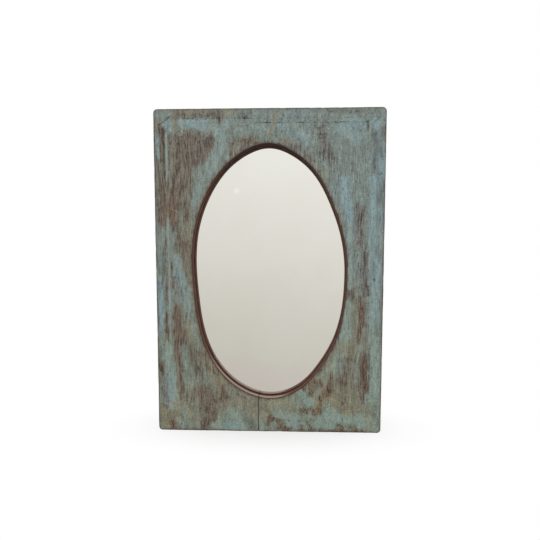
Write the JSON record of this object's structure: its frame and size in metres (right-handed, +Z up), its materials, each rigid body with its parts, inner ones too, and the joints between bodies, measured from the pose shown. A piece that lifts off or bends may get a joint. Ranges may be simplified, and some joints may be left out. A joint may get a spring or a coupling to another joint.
{
  "type": "wall mirror",
  "caption": "Upright rectangular wall mirror: a thick plank frame in worn blue-green paint with a sawn oval opening over a mirror plate, hung on swinging D rings.",
  "frame": {"origin": "middle of the plywood panel's rear face, which lies against the wall", "axes": "+X to the right seen from the front, +Y out of the back into the wall, +Z up"},
  "size_m": [0.46, 0.032, 0.655],
  "materials": {
    "painted_boards": "worn blue-green paint over old brown wood",
    "dowel_wood": "plain turned beech",
    "silvered_glass": "silvered plate glass",
    "packing_board": "plain pressed board",
    "plywood": "unsealed plywood",
    "screw_steel": "zinc plated",
    "hanger_steel": "zinc plated"
  },
  "bodies": {
    "frame": {"left_board": "painted_boards", "right_board": "painted_boards", "top_dowels": "dowel_wood", "bottom_dowels": "dowel_wood", "mirror_plate": "silvered_glass", "packing_sheet": "packing_board", "back_panel": "plywood", "back_panel_screws": "screw_steel", "left_hanger_strap": "hanger_steel", "right_hanger_strap": "hanger_steel", "left_hanger_screws": "screw_steel", "right_hanger_screws": "screw_steel"},
    "left_ring": {"left_hanger_ring": "hanger_steel"},
    "right_ring": {"right_hanger_ring": "hanger_steel"}
  },
  "joints": [
    {"name": "left_ring_swing", "type": "hinge", "parent": "frame", "child": "left_ring", "pos_m": [-0.213, -0.003, 0.2155], "axis": [1, 0, 0], "range_deg": [0, 180]},
    {"name": "right_ring_swing", "type": "hinge", "parent": "frame", "child": "right_ring", "pos_m": [0.213, -0.003, 0.2155], "axis": [1, 0, 0], "range_deg": [0, 180]}
  ]
}
